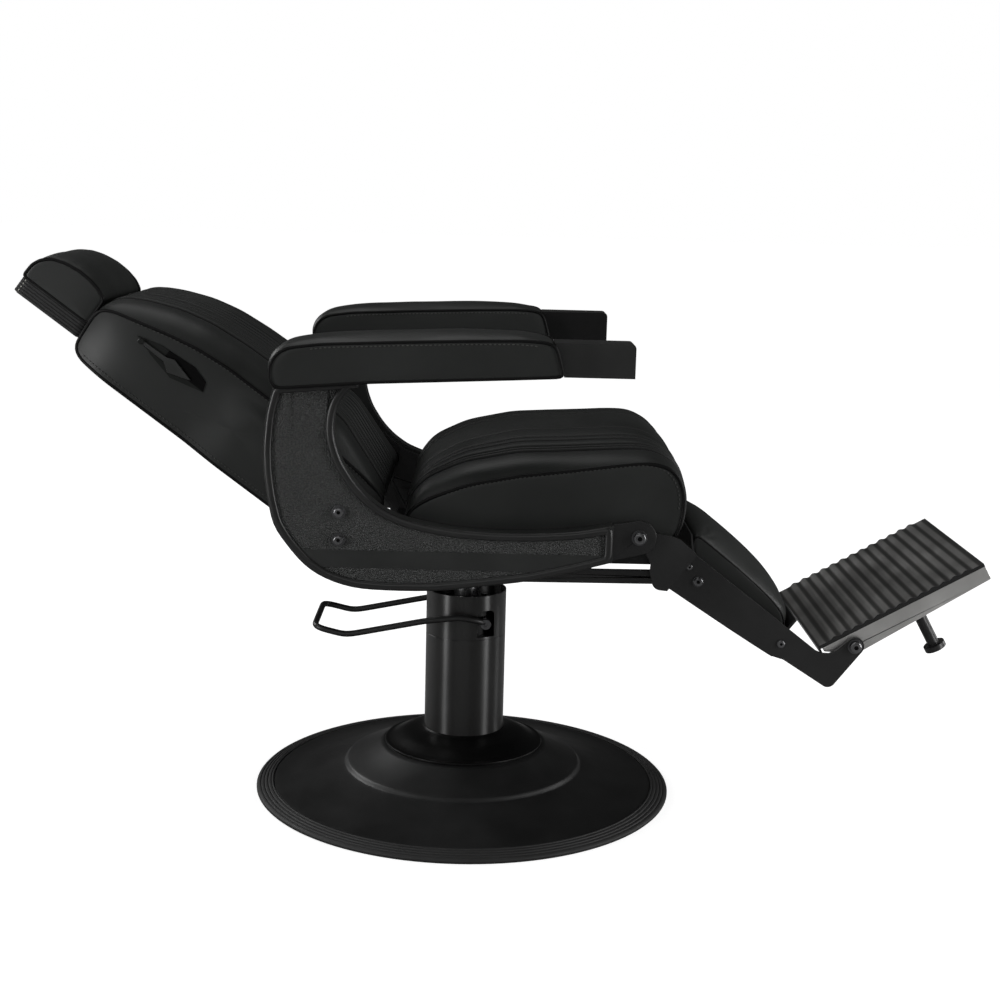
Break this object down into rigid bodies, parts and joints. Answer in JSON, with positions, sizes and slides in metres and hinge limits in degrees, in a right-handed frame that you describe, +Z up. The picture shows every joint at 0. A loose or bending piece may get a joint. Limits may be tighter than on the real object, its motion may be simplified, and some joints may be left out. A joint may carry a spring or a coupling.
{
  "type": "barber chair",
  "caption": "Hydraulic barber chair, shown reclined: round base, foot-pumped column, swivelling seat with arms, lying back with headrest, linked legrest and folding footplate.",
  "frame": {"origin": "on the floor under the middle of the column, at the underside of the base plate", "axes": "+Z up, +X towards the footplate (the sitter's front), +Y to the sitter's left"},
  "size_m": [1.4387, 0.669, 0.8321],
  "materials": {
    "satin_steel": "satin black powder coat",
    "gloss_steel": "glossy black enamel",
    "cast_frame": "cast aluminium, satin black paint",
    "rubber": "matte ribbed rubber",
    "bare_steel": "ground steel",
    "dark_bolts": "blackened steel",
    "leather": "black leatherette over foam",
    "board_wood": "plywood",
    "calf_tray": "satin black powder coat",
    "deck_aluminium": "anodised dark grey, ribbed",
    "plastic": "matte black"
  },
  "bodies": {
    "base": {"base_plate": "satin_steel", "base_cover": "satin_steel", "base_rim_ring": "rubber", "column_trim_disc": "satin_steel", "column_cover": "satin_steel", "pump_sleeve": "gloss_steel", "pump_body": "bare_steel", "pump_foot_bolts": "dark_bolts"},
    "lever": {"lever_bar": "satin_steel", "lever_shaft": "bare_steel", "lever_bolts": "dark_bolts"},
    "ram": {"ram_piston": "bare_steel"},
    "seat": {"swivel_hub": "satin_steel", "thrust_pad": "plastic", "chassis_rails": "satin_steel", "chassis_cross_tubes": "satin_steel", "side_plate_right": "satin_steel", "side_plate_left": "satin_steel", "side_frame_right": "cast_frame", "side_frame_left": "cast_frame", "side_frame_bolts": "dark_bolts", "back_pivot_pins": "bare_steel", "front_pivot_bolts": "dark_bolts", "seat_board": "board_wood", "seat_cushion": "leather", "arm_rail_right": "satin_steel", "arm_rail_left": "satin_steel", "arm_pad_right": "leather", "arm_pad_left": "leather"},
    "back": {"back_hinge_right": "satin_steel", "back_hinge_left": "satin_steel", "back_core": "board_wood", "back_cushion": "leather", "back_panel": "leather", "crank_tie_bar": "satin_steel", "headrest_guides": "bare_steel", "paddle_bezel": "plastic", "hinge_screws": "dark_bolts"},
    "paddle": {"recline_paddle": "satin_steel"},
    "headrest": {"headrest_posts": "bare_steel", "headrest_board": "board_wood", "headrest_cushion": "leather"},
    "link_right": {"link_bar_right": "satin_steel"},
    "link_left": {"link_bar_left": "satin_steel"},
    "lock_case": {"lock_cylinder": "bare_steel"},
    "lock_plunger": {"lock_rod": "bare_steel"},
    "legrest": {"legrest_bracket_right": "satin_steel", "legrest_bracket_left": "satin_steel", "legrest_cross_plate": "satin_steel", "legrest_arm_right": "satin_steel", "legrest_arm_left": "satin_steel", "legrest_tie_bar": "satin_steel", "calf_board": "calf_tray", "calf_cushion": "leather", "legrest_bolts": "dark_bolts", "footplate_hinge_bolts": "dark_bolts"},
    "footplate": {"footplate_deck": "deck_aluminium", "footplate_cheek_right": "deck_aluminium", "footplate_cheek_left": "deck_aluminium", "footplate_bumpers": "satin_steel"}
  },
  "joints": [
    {"name": "pump_lever", "type": "hinge", "parent": "base", "child": "lever", "pos_m": [0.0315, 0, 0.282], "axis": [0, 1, 0], "range_deg": [-22, 0], "stiffness_Nm_per_rad": 6, "springref_deg": 17.19},
    {"name": "ram_lift", "type": "slide", "parent": "base", "child": "ram", "axis": [0, 0, 1], "range_m": [0, 0.15]},
    {"name": "seat_swivel", "type": "hinge", "parent": "ram", "child": "seat", "pos_m": [0, 0, 0.4], "axis": [0, 0, 1], "continuous": true},
    {"name": "recline", "type": "hinge", "parent": "seat", "child": "back", "pos_m": [-0.15, 0, 0.468], "axis": [0, 1, 0], "range_deg": [0, 42]},
    {"name": "headrest_height", "type": "slide", "parent": "back", "child": "headrest", "axis": [-0.8039, 0, 0.5948], "range_m": [0, 0.09]},
    {"name": "paddle_pull", "type": "hinge", "parent": "back", "child": "paddle", "pos_m": [-0.46642, -0.199, 0.72164], "axis": [0, 1, 0], "range_deg": [-12, 0], "stiffness_Nm_per_rad": 0.2, "springref_deg": 20.05},
    {"name": "link_right_back", "type": "hinge", "parent": "back", "child": "link_right", "pos_m": [-0.116, -0.24, 0.4035], "axis": [0, 1, 0], "range_deg": [-42, 0]},
    {"name": "link_left_back", "type": "hinge", "parent": "back", "child": "link_left", "pos_m": [-0.116, 0.24, 0.4035], "axis": [0, 1, 0], "range_deg": [-42, 0]},
    {"name": "legrest_swing", "type": "hinge", "parent": "seat", "child": "legrest", "pos_m": [0.243, 0, 0.471], "axis": [0, 1, 0], "range_deg": [0, 42]},
    {"name": "lock_swing", "type": "hinge", "parent": "seat", "child": "lock_case", "pos_m": [0.205, 0.1, 0.404], "axis": [0, 1, 0], "range_deg": [-1, 0]},
    {"name": "lock_stroke", "type": "slide", "parent": "lock_case", "child": "lock_plunger", "axis": [-1, 0, -0.0092], "range_m": [0, 0.053]},
    {"name": "footplate_flip", "type": "hinge", "parent": "legrest", "child": "footplate", "pos_m": [0.58079, 0, 0.29129], "axis": [0, 1, 0], "range_deg": [-70, 0]}
  ],
  "couplings": [
    {"joint": "link_right_back", "follows": "recline", "ratio": -1},
    {"joint": "link_left_back", "follows": "recline", "ratio": -1},
    {"joint": "legrest_swing", "follows": "recline", "ratio": 1},
    {"joint": "lock_swing", "follows": "recline", "ratio": -0.0214},
    {"joint": "lock_stroke", "follows": "recline", "m_per_rad": 0.0709}
  ]
}
